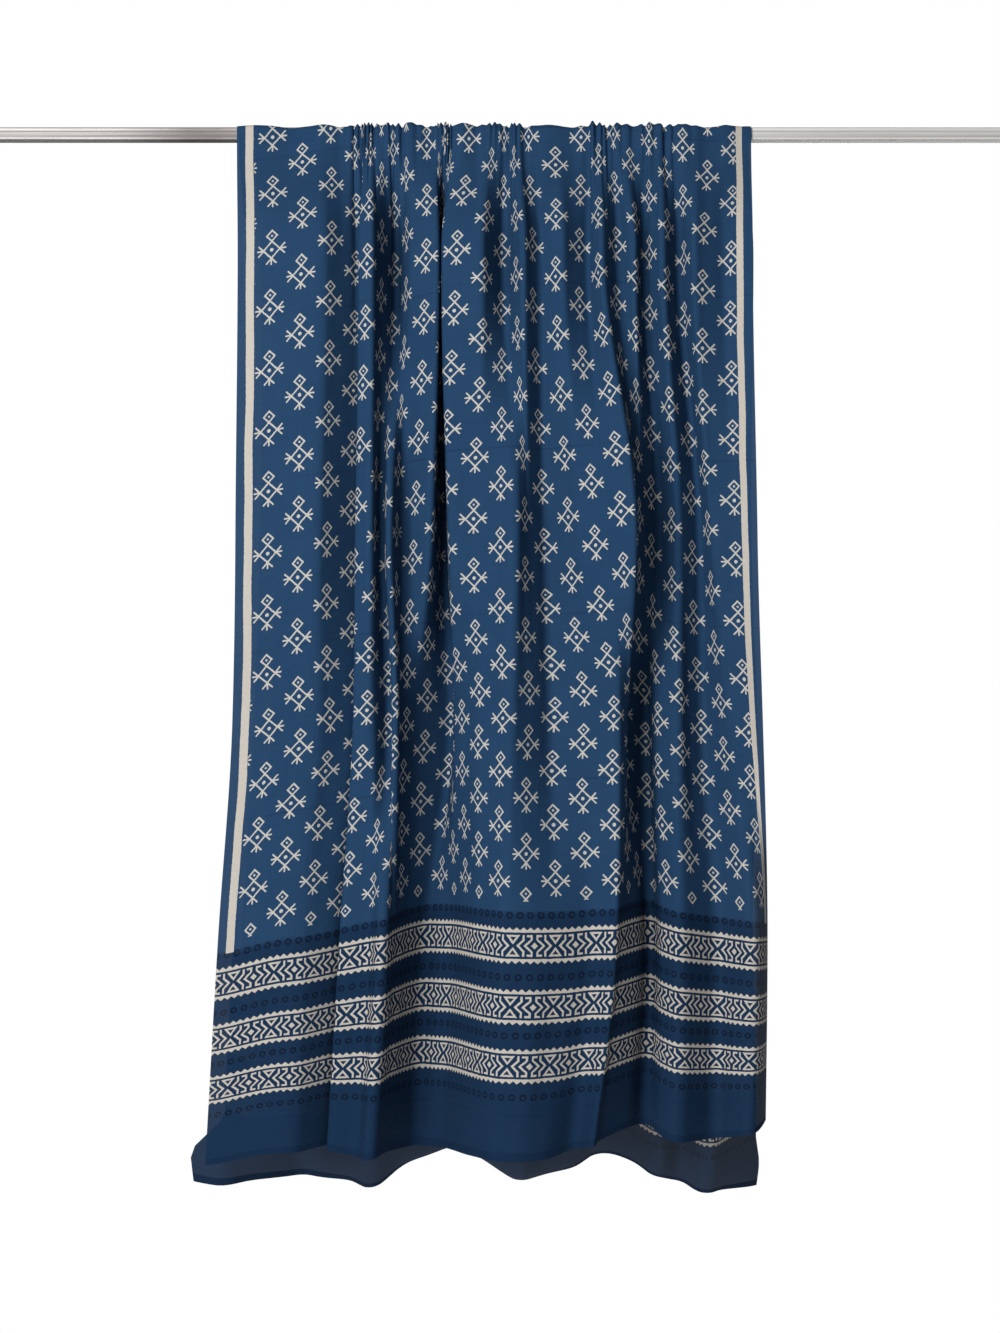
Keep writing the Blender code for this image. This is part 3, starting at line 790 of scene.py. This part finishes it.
def cotton_material():
    """Indigo cotton: resist-printed cream motifs, stripes and bands, rows of dark rings, and its weave."""
    board = Board(bpy.data.materials.new("indigo_block_print"))
    uv = board.node("ShaderNodeUVMap", {"uv_map": "flat_cloth"}).outputs[0]
    parts = board.node("ShaderNodeSeparateXYZ", Vector=uv)
    across = Num(board, parts.outputs[0]) * 1000.0
    along = Num(board, parts.outputs[1]) * 1000.0
    turned_uv = board.vector(parts.outputs[1], parts.outputs[0])
    u = across + (board.noise(uv, 260.0, 1.0) - 0.5) * UNEVEN
    v = along + (board.noise(turned_uv, 230.0, 1.0) - 0.5) * UNEVEN
    hem = v.least(CLOTH_LENGTH * 1000 - v)

    def threads(each_across, each_along, detail, roughness=0.5):
        """Noise with this many grains a mm each way."""
        place = board.vector(across * each_across, along * each_along)
        return board.noise(place, 1.0, detail, roughness)

    motifs = field_pattern(board, u, v, hem)
    stripes = stripe_pattern(board, uv, u, hem)
    unit_x = (u - UNIT_FROM + UNIT / 2) % UNIT - UNIT / 2
    bands = border_band(unit_x, nearest(hem, BANDS), u)
    rings = ring_pattern(board, uv, u, hem)
    packed = packing_creases(board, uv, v)
    turned = inside(hem - HEM_WIDE)

    mottle = board.noise(uv, 14.0, 4.0, 0.6)
    fine = threads(0.9, 0.25, 2.0)
    streaks = threads(0.5, 0.02, 3.0) + threads(0.02, 0.5, 3.0)
    tone = (mottle * 0.6 + streaks * 0.4 - 0.2).clamped()
    indigo = board.blend(tone, *INDIGO)
    indigo = board.blend(inside(hem - BORDER_DARK, 6.0) * 0.62, indigo, BORDER_INDIGO)
    # painted shade along the packing creases, and the turned hem's darker indigo
    indigo = board.blend((packed * 0.45).most(turned * 0.35), indigo, HEM_INDIGO_AND_CREASE_SHADE)
    indigo = board.blend(rings, indigo, RING_INDIGO)
    thin = board.blend(fine, *THIN_CREAM)
    wide = board.blend(fine, *WIDE_CREAM)
    cream = board.blend(stripes.most(bands), thin, wide)
    colour = board.blend(motifs.most(stripes).most(bands), indigo, cream)

    warp = threads(2.6, 0.3, 2.0)
    weft = threads(0.3, 2.6, 2.0)
    crinkle = threads(0.035, 0.16, 3.0, 0.55)
    dents = threads(0.09, 0.05, 2.0)
    height = (warp + weft) * 0.12 + packed * -0.35 + turned * 0.3 + crinkle * 1.5 + dents * 0.9
    bump = board.node("ShaderNodeBump", Strength=0.5, Distance=0.001, Height=height)
    surface = board.node("ShaderNodeBsdfPrincipled", Base_Color=colour, Roughness=0.85,
                         Specular_IOR_Level=0.06, Normal=bump.outputs[0])
    through = board.node("ShaderNodeBsdfTranslucent", Color=board.blend(0.5, colour, GLOW))
    clear = board.node("ShaderNodeBsdfTransparent")
    lit = board.node("ShaderNodeMixShader", at0=GLOWING, at1=surface.outputs[0], at2=through.outputs[0])
    sheer = SHEER * (1.0 - turned) * (0.8 + 0.4 * warp)
    seen = board.node("ShaderNodeMixShader", at0=sheer, at1=lit.outputs[0], at2=clear.outputs[0])
    return board.finished(seen.outputs[0])


def steel_material():
    """Grey galvanised steel: light and dark bands, the light ones painted highlights, and thin streaks that
    run along the bar.

    Three painted highlights lie along its front, near the top, the middle and the bottom, measured in mm from
    its underside, which is painted lighter. Its left end is darkened with painted shade, and a patch on it
    next to the cloth is nearly black.
    """
    board = Board(bpy.data.materials.new("streaked_steel"))
    place = board.node("ShaderNodeTexCoord").outputs["Object"]
    parts = board.node("ShaderNodeSeparateXYZ", Vector=place)
    x, y, z = [Num(board, parts.outputs[axis]) * 1000.0 for axis in range(3)]
    height = z - float(BAR_LOW[2]) * 1000
    streak = board.noise(board.vector(x * 0.004, y * 0.9, z * 0.9), 1.0, 4.0)
    patch = board.noise(board.vector(x * 0.02, y * 0.1, z * 0.1), 1.0, 3.0)
    # painted highlights: three light lines along the bar's front stand in for reflections of the lamps
    top_highlight = inside(abs(height - 12.4) - 1.3, 1.2)
    middle_highlight = inside(abs(height - 7.4) - 0.8, 1.6) * 0.75
    low_highlight = inside(abs(height - 1.6) - 1.0, 1.2)
    light = top_highlight.most(middle_highlight).most(low_highlight) * (0.55 + 0.9 * patch).clamped()
    # painted shade: the bar's left end takes the shaded copy of the steel
    left = inside(x - BAR_MIDDLE_MM + 200.0, 160.0)
    # a nearly black patch just left of the cloth's edge
    dark_patch = inside(abs(x - BAR_MIDDLE_MM + 350.0) - 60.0, 90.0) * (0.4 + patch).clamped()
    # painted light: the bar's underside is made lighter, standing in for light from below
    under = inside(height - 0.05, 0.1)
    tone = (light * 0.6 + (streak - 0.45) * 1.5 + under * 0.9).clamped()
    colour = board.blend(left, board.blend(tone, *STEEL), board.blend(tone, *STEEL_LEFT_SHADE))
    colour = board.blend(dark_patch * 0.8, colour, STEEL_DARK_PATCH)
    surface = board.node("ShaderNodeBsdfPrincipled", Base_Color=colour, Roughness=0.5 - 0.15 * tone,
                         Metallic=0.15)
    return board.finished(surface.outputs[0])


def build_dupatta():
    """The cloth: the sheet of its folds, in metres, about the bar's middle."""
    across, along, x, y, z = cloth_middle()
    points = np.stack([x, y, z], axis=-1) / 1000 + BAR_MIDDLE
    uv = np.stack([across, along], axis=-1) / 1000
    cloth = surface_mesh("printed_dupatta", points, uv)
    cloth.data.materials.append(cotton_material())
    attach(cloth, "root")
    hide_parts("dupatta")


def dress_bar():
    """The bar keeps its solid and gets the steel."""
    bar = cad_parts["bar"]
    bar.data.materials.clear()
    bar.data.materials.append(steel_material())


def add_floor():
    """A pale floor under the bar."""
    middle = float(BAR_MIDDLE[0])
    left, near, right, far = FLOOR_BOX
    mesh = bpy.data.meshes.new("floor")
    corners = [(left, near), (right, near), (right, far), (left, far)]
    mesh.from_pydata([(middle + x, y, FLOOR_Z) for x, y in corners], [], [(0, 1, 2, 3)])
    floor = bpy.data.objects.new("floor", mesh)
    bpy.context.scene.collection.objects.link(floor)
    board = Board(bpy.data.materials.new("pale_floor"))
    surface = board.node("ShaderNodeBsdfPrincipled", Base_Color=FLOOR_GREY, Roughness=0.9)
    mesh.materials.append(board.finished(surface.outputs[0]))


def light_world():
    """White to the camera, and a faint even light to everything else."""
    board = Board(bpy.data.worlds.new("studio"))
    seen = board.node("ShaderNodeLightPath").outputs["Is Camera Ray"]
    glow = board.node("ShaderNodeMix", {"data_type": "FLOAT"}, at0=seen, at2=WORLD_LIGHT, at3=1.0)
    back = board.node("ShaderNodeBackground", Color=(1, 1, 1, 1), Strength=glow.outputs[0])
    bpy.context.scene.world = board.finished(back.outputs[0], "ShaderNodeOutputWorld")


def add_lights():
    """Square soft lights, all turned towards the cloth's middle."""
    middle = float(BAR_MIDDLE[0])
    for name, (x, y, z), size, power in LIGHTS:
        lamp = bpy.data.lights.new(name, "AREA")
        lamp.shape = "SQUARE"
        lamp.size = size
        lamp.energy = power
        place = Vector((middle + x, y, z))
        made = bpy.data.objects.new(name, lamp)
        made.location = place
        made.rotation_euler = (Vector((middle, 0, AIM_Z)) - place).to_track_quat("-Z", "Y").to_euler()
        bpy.context.scene.collection.objects.link(made)


def add_camera():
    """The camera, level, straight in front of the bar's middle."""
    camera = bpy.data.cameras.new("camera")
    camera.sensor_fit = "VERTICAL"
    camera.sensor_height = 36
    camera.lens = LENS
    made = bpy.data.objects.new("camera", camera)
    made.location = (float(BAR_MIDDLE[0]), CAMERA_Y, CAMERA_Z)
    made.rotation_euler = (np.pi / 2, 0, 0)
    bpy.context.scene.collection.objects.link(made)
    bpy.context.scene.camera = made


def studio():
    """The floor, the lights and the camera."""
    bpy.context.scene.view_settings.view_transform = "Standard"
    bpy.context.scene.view_settings.look = "None"
    add_floor()
    light_world()
    add_lights()
    add_camera()


build_dupatta()
dress_bar()
studio()
